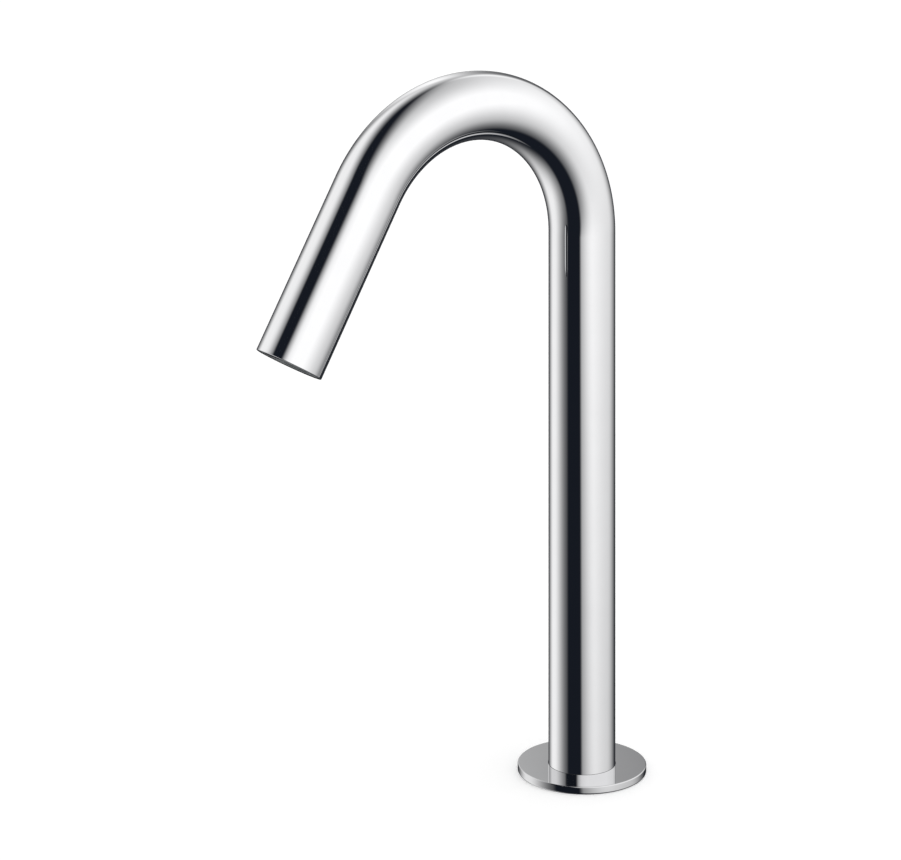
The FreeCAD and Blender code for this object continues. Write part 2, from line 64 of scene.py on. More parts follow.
# Shank
shank_foot = -60.0
shank_root_r = 13.08
shank_crest_r = 14.0
shank_pitch = 1.5
thread_relief = 2.0
spigot_r = 14.48
spigot_top = 28.9
spigot_chamfer = 1.0
spigot_groove = (13.95, 15.85)          # foot and top
water_way_r = 10.8
foot_bore_r = 11.4
foot_bore_top = -44.0
foot_bore_chamfer = 0.25
# Water inlet
inlet_y = -4.55
inlet_crest_r = 7.145
inlet_root_r = 6.5
inlet_pitch = 25.4 / 24
inlet_thread = (-79.0, -67.0)           # foot and top
inlet_relief = 0.6
# Nozzle and aerator, with heights inwards from the spout's mouth
nozzle_r = 14.45
nozzle_face = 0.3
pocket_r = 12.15
screw_x = 11.2
screw_y = -1.8
screw_hole_r = 2.0
aerator_y = 4.55
aerator_socket_r = 8.3
aerator_crest_r = 8.25
aerator_root_r = 7.7
aerator_pitch = 1.0
aerator_lip_r = 6.2
aerator_notch = 0.8
aerator_collar = 0.2         # plain band behind the notches
aerator_relief = 0.4
aerator_height = 5.4
# Deck
deck_r = 8000.0
deck_hole_r = 17.0
deck_sunk = 0.01             # so that the flange's foot doesn't share its surface

# Facets round each shape, and steps round the bend
round_sides = 128
flange_sides = 192
shank_sides = 96
thread_sides = 72
deck_sides = 96
bend_steps = 120

near = 0.02                  # how near a corner lies to the circle or height that it is on
merged = 1e-3                # corners closer than this are one
crease = math.radians(32)    # faces that meet at a larger angle keep a sharp edge

sweep = math.radians(bend_sweep)
outlet_centre = Vector((
    0.0,
    -bend_radius + bend_radius * math.cos(sweep) - spout_run * math.sin(sweep),
    bend_start + bend_radius * math.sin(sweep) + spout_run * math.cos(sweep),
))
# From a piece drawn with the tap's mouth at z = 0 and +Z inwards to its place on the tap.
in_outlet = Matrix.Translation(outlet_centre) @ Matrix.Rotation(sweep - math.pi, 4, "X")


# ---- Camera ----
def place_camera():
    """Long lens a little above the tap, its back upright to keep the column's sides parallel."""
    picture_width = 901
    middle_row = 430.0
    level_row = -367.96                  # above the picture, where a level line of sight meets it
    pixels_per_tangent = 2993.9
    bearing = math.radians(54.69)        # from the tap's front round to the right
    away, left, height = 1.433, 0.0629, 0.5447    # metres from the column's axis and above the deck
    back = Vector((math.sin(bearing), -math.cos(bearing), 0))
    right = Vector((math.cos(bearing), math.sin(bearing), 0))
    stand = back * away - right * left + Vector((0, 0, height))
    tilt = (middle_row - level_row) / pixels_per_tangent
    sight = -back - Vector((0, 0, tilt))
    length = sight.length
    # The picture's right and up, the way back along the sight, and the camera's place. Up isn't
    # square to the sight, which slides the picture as an upright back does. A parent carries it.
    view = Matrix.Identity(4)
    for column, axis in enumerate((right, Vector((0, 0, 1)), -sight / length, stand)):
        for row in range(3):
            view[row][column] = axis[row]
    lens = bpy.data.cameras.new("studio_camera")
    lens.lens = lens.sensor_width * pixels_per_tangent * length / picture_width
    lens.clip_end = 50.0                 # metres, past the deck's far rim
    camera = bpy.data.objects.new("studio_camera", lens)
    tripod = bpy.data.objects.new("upright_back", None)
    for thing in (camera, tripod):
        scene.collection.objects.link(thing)
    camera.parent = tripod
    camera.matrix_parent_inverse = view
    scene.camera = camera


place_camera()


# ---- Colours and nodes ----
def linear(colour):
    """Linear RGBA of an sRGB hex colour."""
    parts = [int(colour[i:i + 2], 16) / 255 for i in (1, 3, 5)]
    return [p / 12.92 if p <= 0.04045 else ((p + 0.055) / 1.055) ** 2.4 for p in parts] + [1.0]


def add(tree, kind, links=None, **settings):
    """Adds a node with its settings; links give its inputs a value, a hex colour or an output."""
    node = tree.nodes.new(kind)
    for name, value in settings.items():
        setattr(node, name, value)
    for socket, value in (links or {}).items():
        if isinstance(value, bpy.types.NodeSocket):
            tree.links.new(value, node.inputs[socket])
        else:
            node.inputs[socket].default_value = linear(value) if isinstance(value, str) else value
    return node


# In a colour Mix node, inputs 6 and 7 are the two colours and output 2 is their mixture.
MIX_A, MIX_B, MIXED = 6, 7, 2


def every(size):
    """Scale of a texture whose grains are this many millimetres."""
    return 1000.0 / size


def lines_every(size):
    """Scale of a wave texture whose lines are this many millimetres apart."""
    return math.pi / 10 * every(size)    # at scale 1 it repeats every pi / 10


# ---- Studio ----
room_light = 0.95            # plain white light on all that isn't a mirror
mirror_level = 1.24          # brightness of a softbox as the chrome sees it
room_dark = "#191D25"        # unlit room between the softboxes


def towards(bearing, height):
    """Direction by bearing from +X and height above the horizon, in degrees."""
    b, h = math.radians(bearing), math.radians(height)
    return (math.cos(h) * math.cos(b), math.cos(h) * math.sin(b), math.sin(h))


# Each softbox has its brightness and the edges of its cloth. An edge faces a direction, and the
# cloth goes from dark to fully lit between two distances along it. Where softboxes overlap, they
# add up to white at most. Left and right are as they look from the tap's front.
softboxes = (
    # The big bank behind on the right and above.
    (2.1, (
        (towards(35, 20), 0.05, 0.20),       # its crisp edge, where the column's dark band starts
        (towards(-110, 70), -1.60, 0.70),    # brightest overhead
        (towards(35, -45), -1.80, 2.00),     # and a little brighter low down behind
        (towards(80, 55), -0.85, -0.05),     # fades low down in front,
        (towards(-10, 40), -0.70, 0.05),     # low down on the left,
        (towards(50, -10), -0.50, 0.0),      # and in front on the left
    )),
    # The tall strip in front on the left.
    (0.85, (
        (towards(-170, -10), 0.10, 0.25),    # its crisp edge, where the dark band ends
        (towards(-140, 25), -0.45, 0.50),    # brightest a little above the tap
        (towards(120, 5), -1.00, -0.10),     # fades in front on the right,
        (towards(-35, 5), -1.00, -0.50),     # opposite the camera, so that outlines stay dark,
        (towards(-175, -55), -0.60, -0.05),  # and above on the right
    )),
    # A weak broad light behind the tap, and a small one there that the top of the flange mirrors.
    (0.15, ((towards(130, 25), 0.50, 1.50),)),
    (0.75, (
        (towards(145, 20), 0.90, 1.00),
        (towards(-125, 0), -0.15, 0.15),
    )),
)


def light_studio():
    """White room for what is lit, and large softboxes in a dark room for what is mirrored."""
    world = bpy.data.worlds.new("studio")
    world.use_nodes = True
    scene.world = world
    tree = world.node_tree
    tree.nodes.clear()
    direction = add(tree, "ShaderNodeTexCoord").outputs["Generated"]
    total = 0.0
    for brightness, edges in softboxes:
        light = brightness
        for axis, dark, lit in edges:
            along = add(tree, "ShaderNodeVectorMath", {
                0: direction, 1: axis}, operation="DOT_PRODUCT")
            cloth = add(tree, "ShaderNodeMapRange", {
                "Value": along.outputs["Value"], "From Min": dark, "From Max": lit,
            }, interpolation_type="SMOOTHSTEP")
            light = add(tree, "ShaderNodeMath", {
                0: cloth.outputs[0], 1: light}, operation="MULTIPLY").outputs[0]
        total = add(tree, "ShaderNodeMath", {0: light, 1: total}, operation="ADD").outputs[0]
    capped = add(tree, "ShaderNodeMath", {0: total, 1: 1.0}, operation="MINIMUM").outputs[0]
    mirrored = add(tree, "ShaderNodeMix", {
        0: capped, MIX_A: room_dark, MIX_B: (mirror_level, mirror_level, mirror_level, 1),
    }, data_type="RGBA").outputs[MIXED]
    rays = add(tree, "ShaderNodeLightPath").outputs
    by_mirror = add(tree, "ShaderNodeMath", {
        0: rays["Is Glossy Ray"], 1: rays["Is Transmission Ray"],
    }, operation="MAXIMUM").outputs[0]
    room = add(tree, "ShaderNodeMix", {
        0: by_mirror, MIX_A: (room_light, room_light, room_light, 1), MIX_B: mirrored,
    }, data_type="RGBA").outputs[MIXED]
    backdrop = add(tree, "ShaderNodeMix", {
        0: rays["Is Camera Ray"], MIX_A: room, MIX_B: "#FFFFFF",
    }, data_type="RGBA").outputs[MIXED]
    background = add(tree, "ShaderNodeBackground", {"Color": backdrop, "Strength": 1.0})
    add(tree, "ShaderNodeOutputWorld", {"Surface": background.outputs[0]})


light_studio()


# ---- Finishes ----
def finish(name, metallic=0.0, **values):
    """New material with its shader; values are the sockets that are the same all over."""
    material = bpy.data.materials.new(name)
    material.use_nodes = True
    tree = material.node_tree
    shader = tree.nodes["Principled BSDF"]
    shader.inputs["Metallic"].default_value = metallic
    for socket, value in values.items():
        shader.inputs[socket.replace("_", " ")].default_value = value
    return material, tree, shader.inputs, add(tree, "ShaderNodeTexCoord").outputs["Object"]


def vary(tree, surface, **outputs):
    """Links what varies over the surface to the shader's sockets."""
    for socket, output in outputs.items():
        tree.links.new(output, surface[socket.replace("_", " ")])


def chrome_plate(name, pale, deep):
    """Bright chromium over polished nickel: a sharp, neutral mirror with a faint wiped haze."""
    material, tree, surface, place = finish(name, metallic=1.0)
    wiped = add(tree, "ShaderNodeTexNoise", {
        "Vector": place, "Scale": every(14), "Detail": 4.0, "Roughness": 0.6}).outputs[0]
    haze = add(tree, "ShaderNodeMapRange", {
        "Value": wiped, "From Min": 0.35, "From Max": 0.75, "To Min": 0.015, "To Max": 0.045,
    }).outputs[0]
    tone = add(tree, "ShaderNodeMix", {
        0: wiped, MIX_A: pale, MIX_B: deep}, data_type="RGBA").outputs[MIXED]
    # The plate's own waviness is about 3 mm long and far under a micrometre deep.
    wave = add(tree, "ShaderNodeTexNoise", {
        "Vector": place, "Scale": every(3), "Detail": 2.0}).outputs[0]
    bump = add(tree, "ShaderNodeBump", {
        "Height": wave, "Strength": 0.5, "Distance": 4e-7}).outputs[0]
    vary(tree, surface, Base_Color=tone, Roughness=haze, Normal=bump)
    return material


def dull_bore():
    """Inside of the tube, where plating hardly reaches: dark, patchy drawn brass, satin at most."""
    material, tree, surface, place = finish("tarnished_drawn_brass", metallic=1.0)
    tarnish = add(tree, "ShaderNodeTexNoise", {
        "Vector": place, "Scale": every(3), "Detail": 4.0}).outputs[0]
    tone = add(tree, "ShaderNodeMix", {
        0: tarnish, MIX_A: "#3E3A34", MIX_B: "#2C2A28"}, data_type="RGBA").outputs[MIXED]
    satin = add(tree, "ShaderNodeMapRange", {
        "Value": tarnish, "To Min": 0.35, "To Max": 0.6}).outputs[0]
    vary(tree, surface, Base_Color=tone, Roughness=satin)
    return material


def turned_brass():
    """Unplated brass off the lathe: warm yellow, satin and a little dull, ringed by the feed."""
    material, tree, surface, place = finish("turned_brass", metallic=1.0)
    dull = add(tree, "ShaderNodeTexNoise", {
        "Vector": place, "Scale": every(5), "Detail": 5.0, "Roughness": 0.65}).outputs[0]
    tone = add(tree, "ShaderNodeMix", {
        0: dull, MIX_A: "#D9B561", MIX_B: "#AD853F"}, data_type="RGBA").outputs[MIXED]
    satin = add(tree, "ShaderNodeMapRange", {
        "Value": dull, "To Min": 0.16, "To Max": 0.42}).outputs[0]
    # The feed is 0.1 mm a turn, drawn at 0.3 mm so that it shows.
    feed = add(tree, "ShaderNodeTexWave", {
        "Vector": place, "Scale": lines_every(0.3), "Distortion": 0.4, "Detail": 1.0},
        bands_direction="Z").outputs[1]
    bump = add(tree, "ShaderNodeBump", {
        "Height": feed, "Strength": 0.5, "Distance": 6e-6}).outputs[0]
    vary(tree, surface, Base_Color=tone, Roughness=satin, Normal=bump)
    return material


def zinc_plate():
    """Zinc plated, clear passivated pressed steel: cool grey with faint straw and blue clouds."""
    material, tree, surface, place = finish("zinc_plated_steel", metallic=1.0)
    cloud = add(tree, "ShaderNodeTexNoise", {
        "Vector": place, "Scale": every(8), "Detail": 3.0}).outputs[0]
    clouds = add(tree, "ShaderNodeValToRGB", {0: cloud})
    band = clouds.color_ramp.elements
    band[0].position, band[0].color = 0.32, linear("#AEB8C6")
    band[1].position, band[1].color = 0.68, linear("#C9C4AC")
    band.new(0.5).color = linear("#BEC2C4")
    grain = add(tree, "ShaderNodeTexNoise", {
        "Vector": place, "Scale": every(0.5), "Detail": 3.0}).outputs[0]
    satin = add(tree, "ShaderNodeMapRange", {
        "Value": grain, "To Min": 0.24, "To Max": 0.5}).outputs[0]
    bump = add(tree, "ShaderNodeBump", {
        "Height": grain, "Strength": 0.4, "Distance": 1e-5}).outputs[0]
    vary(tree, surface, Base_Color=clouds.outputs[0], Roughness=satin, Normal=bump)
    return material


def drawn_stainless():
    """Drawn stainless steel: neutral silver with fine draw lines and a soft highlight."""
    material, tree, surface, place = finish("drawn_stainless_steel", metallic=1.0)
    leaning = add(tree, "ShaderNodeMapping", {
        "Vector": place, "Rotation": (math.pi - sweep, 0, 0)}).outputs[0]
    drawn = add(tree, "ShaderNodeMapping", {"Vector": leaning, "Scale": (1, 1, 0.08)}).outputs[0]
    lines = add(tree, "ShaderNodeTexNoise", {
        "Vector": drawn, "Scale": every(0.25), "Detail": 3.0}).outputs[0]
    tone = add(tree, "ShaderNodeMix", {
        0: lines, MIX_A: "#D0D0CE", MIX_B: "#A9AAAA"}, data_type="RGBA").outputs[MIXED]
    satin = add(tree, "ShaderNodeMapRange", {
        "Value": lines, "To Min": 0.18, "To Max": 0.38}).outputs[0]
    bump = add(tree, "ShaderNodeBump", {
        "Height": lines, "Strength": 0.3, "Distance": 5e-6}).outputs[0]
    vary(tree, surface, Base_Color=tone, Roughness=satin, Normal=bump)
    return material


def woven_strainer():
    """Stainless wire cloth: bright wires that rise over and under each other, with painted shade in
    the holes between them.
    """
    material, tree, surface, place = finish("woven_stainless_strainer", metallic=1.0)
    flat = add(tree, "ShaderNodeMapping", {
        "Vector": place, "Rotation": (math.pi - sweep, 0, 0)}).outputs[0]
    # The cloth is 60 mesh, with a wire every 0.42 mm.
    warp = add(tree, "ShaderNodeTexWave", {
        "Vector": flat, "Scale": lines_every(0.42)}, bands_direction="X").outputs[1]
    weft = add(tree, "ShaderNodeTexWave", {
        "Vector": flat, "Scale": lines_every(0.42)}, bands_direction="Y").outputs[1]
    wire = add(tree, "ShaderNodeMath", {0: warp, 1: weft}, operation="MAXIMUM").outputs[0]
    hole_shade = add(tree, "ShaderNodeMapRange", {
        "Value": wire, "From Min": 0.45, "From Max": 0.75}).outputs[0]
    # The holes are painted near black, which is painted shade for the dark inside behind the cloth.
    tone = add(tree, "ShaderNodeMix", {
        0: hole_shade, MIX_A: "#23262A", MIX_B: "#CBCCCC"}, data_type="RGBA").outputs[MIXED]
    bump = add(tree, "ShaderNodeBump", {
        "Height": wire, "Strength": 0.8, "Distance": 8e-5}).outputs[0]
    surface["Roughness"].default_value = 0.3
    vary(tree, surface, Base_Color=tone, Normal=bump)
    return material


def moulded_rubber():
    """Cured rubber from a blasted mould: near black, dead matt, with a grey bloom in patches."""
    material, tree, surface, place = finish("moulded_black_rubber", IOR=1.52)
    bloom = add(tree, "ShaderNodeTexNoise", {
        "Vector": place, "Scale": every(4), "Detail": 6.0, "Roughness": 0.7}).outputs[0]
    tone = add(tree, "ShaderNodeMix", {
        0: bloom, MIX_A: "#151617", MIX_B: "#2B2C2D"}, data_type="RGBA").outputs[MIXED]
    matt = add(tree, "ShaderNodeMapRange", {
        "Value": bloom, "To Min": 0.62, "To Max": 0.85}).outputs[0]
    grain = add(tree, "ShaderNodeTexNoise", {
        "Vector": place, "Scale": every(0.15), "Detail": 2.0}).outputs[0]
    bump = add(tree, "ShaderNodeBump", {
        "Height": grain, "Strength": 0.5, "Distance": 2e-5}).outputs[0]
    vary(tree, surface, Base_Color=tone, Roughness=matt, Normal=bump)
    return material


def moulded_plastic(name, pale, deep, sheen, grain_size, **values):
    """Injection-moulded plastic: two close tones where the melt flowed, over a fine mould grain."""
    material, tree, surface, place = finish(name, **values)
    flow = add(tree, "ShaderNodeTexNoise", {
        "Vector": place, "Scale": every(9), "Detail": 3.0, "Distortion": 0.6}).outputs[0]
    tone = add(tree, "ShaderNodeMix", {
        0: flow, MIX_A: pale, MIX_B: deep}, data_type="RGBA").outputs[MIXED]
    grain = add(tree, "ShaderNodeTexNoise", {
        "Vector": place, "Scale": every(grain_size), "Detail": 3.0, "Roughness": 0.6}).outputs[0]
    gloss = add(tree, "ShaderNodeMapRange", {
        "Value": grain, "To Min": sheen - 0.08, "To Max": sheen + 0.08}).outputs[0]
    bump = add(tree, "ShaderNodeBump", {
        "Height": grain, "Strength": 0.45, "Distance": 1.5e-5}).outputs[0]
    vary(tree, surface, Base_Color=tone, Roughness=gloss, Normal=bump)
    return material


def extruded_sheath():
    """Black PVC drawn over the lead: satin, with the faint long lines of the die."""
    material, tree, surface, place = finish("extruded_black_pvc", IOR=1.53)
    skin = add(tree, "ShaderNodeTexNoise", {
        "Vector": place, "Scale": every(1.2), "Detail": 4.0}).outputs[0]
    tone = add(tree, "ShaderNodeMix", {
        0: skin, MIX_A: "#1B1C1E", MIX_B: "#26272A"}, data_type="RGBA").outputs[MIXED]
    satin = add(tree, "ShaderNodeMapRange", {
        "Value": skin, "To Min": 0.42, "To Max": 0.6}).outputs[0]
    bump = add(tree, "ShaderNodeBump", {
        "Height": skin, "Strength": 0.3, "Distance": 2e-5}).outputs[0]
    vary(tree, surface, Base_Color=tone, Roughness=satin, Normal=bump)
    return material


def infrared_window():
    """Moulded acrylic that passes infrared: glossy black, wine red where light gets through."""
    material, tree, surface, place = finish("infrared_acrylic", IOR=1.49)
    depth = add(tree, "ShaderNodeTexNoise", {
        "Vector": place, "Scale": every(5), "Detail": 2.0}).outputs[0]
    tone = add(tree, "ShaderNodeMix", {
        0: depth, MIX_A: "#1A0C12", MIX_B: "#26121A"}, data_type="RGBA").outputs[MIXED]
    rubbed = add(tree, "ShaderNodeTexNoise", {
        "Vector": place, "Scale": every(0.8), "Detail": 5.0}).outputs[0]
    gloss = add(tree, "ShaderNodeMapRange", {
        "Value": rubbed, "To Min": 0.03, "To Max": 0.12}).outputs[0]
    vary(tree, surface, Base_Color=tone, Roughness=gloss)
    return material


def circuit_laminate():
    """Glass-epoxy board under green solder resist: glossy, with the tracks raised beneath it."""
    material, tree, surface, place = finish("resist_on_glass_epoxy", IOR=1.55)
    flat = add(tree, "ShaderNodeMapping", {
        "Vector": place, "Rotation": (math.pi - sweep, 0, 0)}).outputs[0]
    # Tracks are 0.2 mm wide at 0.6 mm, turned so that they run up the board.
    facing = add(tree, "ShaderNodeMapping", {
        "Vector": flat, "Rotation": (math.pi / 2, 0, 0)}).outputs[0]
    tracks = add(tree, "ShaderNodeTexBrick", {
        "Vector": facing, "Scale": every(1.8), "Mortar Size": 0.06, "Mortar Smooth": 0.4,
        "Brick Width": 0.9, "Row Height": 0.34,
        "Color1": "#1C5A34", "Color2": "#1F6038", "Mortar": "#2F7F49",
    }, offset=0.5)
    bump = add(tree, "ShaderNodeBump", {
        "Height": tracks.outputs[1], "Strength": 0.5, "Distance": 3e-5}).outputs[0]
    surface["Roughness"].default_value = 0.22
    vary(tree, surface, Base_Color=tracks.outputs[0], Normal=bump)
    return material


def cast_epoxy(name, pale, deep, gloss, clear=0.0):
    """Cast epoxy of a diode or chip: smooth, with slow clouds of filler and a meniscus sheen."""
    material, tree, surface, place = finish(name, IOR=1.54, Transmission_Weight=clear)
    filler = add(tree, "ShaderNodeTexNoise", {
        "Vector": place, "Scale": every(0.7), "Detail": 4.0}).outputs[0]
    tone = add(tree, "ShaderNodeMix", {
        0: filler, MIX_A: pale, MIX_B: deep}, data_type="RGBA").outputs[MIXED]
    sheen = add(tree, "ShaderNodeMapRange", {
        "Value": filler, "To Min": gloss, "To Max": gloss + 0.1}).outputs[0]
    vary(tree, surface, Base_Color=tone, Roughness=sheen)
    return material


def gold_flash():
    """Thin gold over nickel on turned pins: pale yellow, bright, with the pin's turning marks."""
    material, tree, surface, place = finish("gold_flashed_pins", metallic=1.0)
    marks = add(tree, "ShaderNodeTexWave", {
        "Vector": place, "Scale": lines_every(0.2), "Distortion": 1.0},
        bands_direction="Z").outputs[1]
    tone = add(tree, "ShaderNodeMix", {
        0: marks, MIX_A: "#E8C766", MIX_B: "#D2A944"}, data_type="RGBA").outputs[MIXED]
    sheen = add(tree, "ShaderNodeMapRange", {
        "Value": marks, "To Min": 0.12, "To Max": 0.24}).outputs[0]
    vary(tree, surface, Base_Color=tone, Roughness=sheen)
    return material


def pale_deck():
    """Plain white studio board, which keeps the tap's soft shadow and is white elsewhere."""
    material, tree, surface, place = finish("white_studio_board", Roughness=0.9)
    fibre = add(tree, "ShaderNodeTexNoise", {
        "Vector": place, "Scale": every(6), "Detail": 3.0}).outputs[0]
    tone = add(tree, "ShaderNodeMix", {
        0: fibre, MIX_A: "#F4F4F4", MIX_B: "#F2F2F2"}, data_type="RGBA").outputs[MIXED]
    # What the lit board lacks to white is added for the camera alone, so only its shadow is grey.
    lacking = 0.22
    seen = add(tree, "ShaderNodeLightPath").outputs["Is Camera Ray"]
    lift = add(tree, "ShaderNodeMath", {0: seen, 1: lacking}, operation="MULTIPLY").outputs[0]
    surface["Specular IOR Level"].default_value = 0.0
    surface["Emission Color"].default_value = (1, 1, 1, 1)
    vary(tree, surface, Base_Color=tone, Emission_Strength=lift)
    return material


chrome = chrome_plate("polished_chrome_plate", "#EAEAEB", "#E5E5E6")
# The turned flange is plated too, in a darker copy of the chrome: painted shade, so that it mirrors
# a little less.
flange_chrome_painted_darker = chrome_plate("chrome_plate_on_turned_flange_painted_darker", "#DADADB", "#D5D5D6")
tarnished = dull_bore()
brass = turned_brass()
zinc = zinc_plate()
stainless = drawn_stainless()
strainer_cloth = woven_strainer()
rubber = moulded_rubber()
# Glass-filled acetal: cold mid grey, matt where the fibres come to the skin.
nozzle_grey = moulded_plastic("moulded_grey_acetal", "#767A7C", "#686C6E", 0.42, 0.25, IOR=1.48)
# ABS: deep neutral black with a satin skin.
case_black = moulded_plastic("moulded_black_abs", "#1F2022", "#17181A", 0.36, 0.3, IOR=1.53)
# Natural acetal: warm white that lets a little light into itself.
acetal_white = moulded_plastic(
    "moulded_natural_acetal", "#E9E7DF", "#DEDCD3", 0.38, 0.35, IOR=1.48,
    Subsurface_Weight=0.15, Subsurface_Scale=0.002)
# Cross-linked polyethylene pipe: milky and waxy, with light glowing through its wall.
pipe_milky = moulded_plastic(
    "extruded_milky_polyethylene", "#E4E3DB", "#D8D7CE", 0.34, 1.2, IOR=1.51,
    Subsurface_Weight=0.3, Subsurface_Scale=0.003)
sheath = extruded_sheath()
window_acrylic = infrared_window()
laminate = circuit_laminate()
# Emitter's water-clear epoxy with a blue cast, receiver's daylight-blocking black, chip's moulding.
emitter_epoxy = cast_epoxy("water_clear_epoxy", "#A9B4C4", "#93A0B4", 0.05, clear=0.5)
receiver_epoxy = cast_epoxy("daylight_blocking_epoxy", "#16161B", "#101014", 0.08)
chip_epoxy = cast_epoxy("chip_moulding_epoxy", "#232425", "#1B1C1D", 0.45)
gold = gold_flash()


# ---- Making pieces ----
def turned(corners, sides=round_sides):
    """A closed outline of (radius, height) corners, spun round the upright axis."""
    bm = bmesh.new()
    verts = [bm.verts.new((radius, 0, height)) for radius, height in corners]
    edges = [bm.edges.new((verts[i - 1], verts[i])) for i in range(len(verts))]
    bmesh.ops.spin(
        bm, geom=verts + edges, cent=(0, 0, 0), axis=(0, 0, 1), angle=2 * math.pi, steps=sides,
        use_merge=True)
    bmesh.ops.recalc_face_normals(bm, faces=bm.faces)
    return bm


def ring_edges(bm, radius, height, x=0.0, y=0.0):
    """The edges that run round an upright circle."""
    def on_circle(vert):
        off = math.hypot(vert.co.x - x, vert.co.y - y) - radius
        return abs(off) < near and abs(vert.co.z - height) < near
    return [edge for edge in bm.edges if on_circle(edge.verts[0]) and on_circle(edge.verts[1])]


def soften(bm, edges, size, segments):
    """Rounds edges; one segment leaves a chamfer."""
    bmesh.ops.bevel(
        bm, geom=edges, offset=size, offset_type="OFFSET", segments=segments, profile=0.5,
        affect="EDGES", material=-1, clamp_overlap=True)


def cut_thread(bm, root_r, crest_r, pitch, low, high, y=0.0, sunk=0.1):
    """Adds a right-hand thread's ridge, its foot sunk in a core of the root's radius."""
    # The standard form has flanks at 60 degrees and a crest an eighth of the pitch wide.
    flank = math.tan(math.radians(30))
    crest = pitch / 16
    foot = crest + (crest_r - root_r + sunk) * flank
    outline = ((root_r - sunk, -foot), (crest_r, -crest), (crest_r, crest), (root_r - sunk, foot))
    turns, last_steps = divmod(int((high - low - 2 * foot) / pitch * thread_sides), thread_sides)
    ridge = bmesh.new()

    def wind(start, steps):
        verts = [ridge.verts.new((radius, 0, start + height)) for radius, height in outline]
        edges = [ridge.edges.new((verts[i - 1], verts[i])) for i in range(4)]
        bmesh.ops.spin(
            ridge, geom=verts + edges, cent=(0, 0, 0), axis=(0, 0, 1),
            dvec=(0, 0, pitch / thread_sides), angle=2 * math.pi * steps / thread_sides,
            steps=steps)

    # One turn is wound and copied up the thread, and the last part of a turn follows it.
    wind(low + foot, thread_sides)
    first = ridge.verts[:] + ridge.edges[:] + ridge.faces[:]
    for turn in range(1, turns):
        copy = bmesh.ops.duplicate(ridge, geom=first)["geom"]
        copied_verts = [v for v in copy if isinstance(v, bmesh.types.BMVert)]
        bmesh.ops.translate(ridge, vec=(0, 0, turn * pitch), verts=copied_verts)
    if last_steps:
        wind(low + foot + turns * pitch, last_steps)
    bmesh.ops.remove_doubles(ridge, verts=ridge.verts, dist=merged)
    bmesh.ops.holes_fill(ridge, edges=[edge for edge in ridge.edges if edge.is_boundary], sides=4)
    # At both ends the ridge runs out at 45 degrees.
    for vert in ridge.verts:
        radius = vert.co.xy.length
        limit = root_r + min(vert.co.z - low, high - vert.co.z)
        if radius > root_r and limit < radius:
            vert.co.xy *= max(limit, root_r - sunk) / radius
    bmesh.ops.recalc_face_normals(ridge, faces=ridge.faces)
    bmesh.ops.translate(ridge, vec=(0, y, 0), verts=ridge.verts)
    wound = bpy.data.meshes.new("thread_ridge")
    ridge.to_mesh(wound)
    ridge.free()
    bm.from_mesh(wound)
    bpy.data.meshes.remove(wound)


def copied(node, place=Matrix.Identity(4)):
    """A CAD node's shape in millimetres, its triangles joined, as it is before `place` moves it."""
    bm = bmesh.new()
    bm.from_mesh(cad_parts[node].data)
    bmesh.ops.scale(bm, vec=(1000, 1000, 1000), verts=bm.verts)
    bmesh.ops.remove_doubles(bm, verts=bm.verts, dist=merged)
    bmesh.ops.transform(bm, matrix=place.inverted(), verts=bm.verts)
    return bm


def trued(bm, radius, height, x=0.0, y=0.0, cuts=5):
    """Makes a copied circle rounder: its edges are divided and the new points moved out onto it."""
    deepest = 0.4                        # how far inside the circle a divided edge's points may lie
    sharp = 0.5                          # radians, less than faces turn at the circle's own edge
    centre = Vector((x, y))
    bmesh.ops.subdivide_edges(bm, edges=ring_edges(bm, radius, height, x, y), cuts=cuts)
    for vert in bm.verts:
        off = vert.co.xy - centre
        if abs(vert.co.z - height) < near and radius - deepest < off.length < radius + near:
            if any(edge.is_boundary or edge.calc_face_angle(0) > sharp for edge in vert.link_edges):
                vert.co.xy = centre + off * radius / off.length


def piece(name, bm, finish_on_it, body, nodes=(), place=Matrix.Identity(4)):
    """Puts a finished shape on the tap: smooth but for creases, in metres, riding on its body."""
    bmesh.ops.transform(bm, matrix=Matrix.Scale(0.001, 4) @ place, verts=bm.verts)
    for face in bm.faces:
        face.smooth = True
    for edge in bm.edges:
        edge.smooth = len(edge.link_faces) != 2 or edge.calc_face_angle(0) < crease
    mesh = bpy.data.meshes.new(name)
    bm.to_mesh(mesh)
    bm.free()
    mesh.materials.append(finish_on_it)
    made = bpy.data.objects.new(name, mesh)
    scene.collection.objects.link(made)
    # A long face keeps its own normal beside a small rounding, so what it mirrors isn't bent.
    made.modifiers.new("true_faces", "WEIGHTED_NORMAL").keep_sharp = True
    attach(made, body)
    if nodes:
        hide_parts(*nodes)
    return made


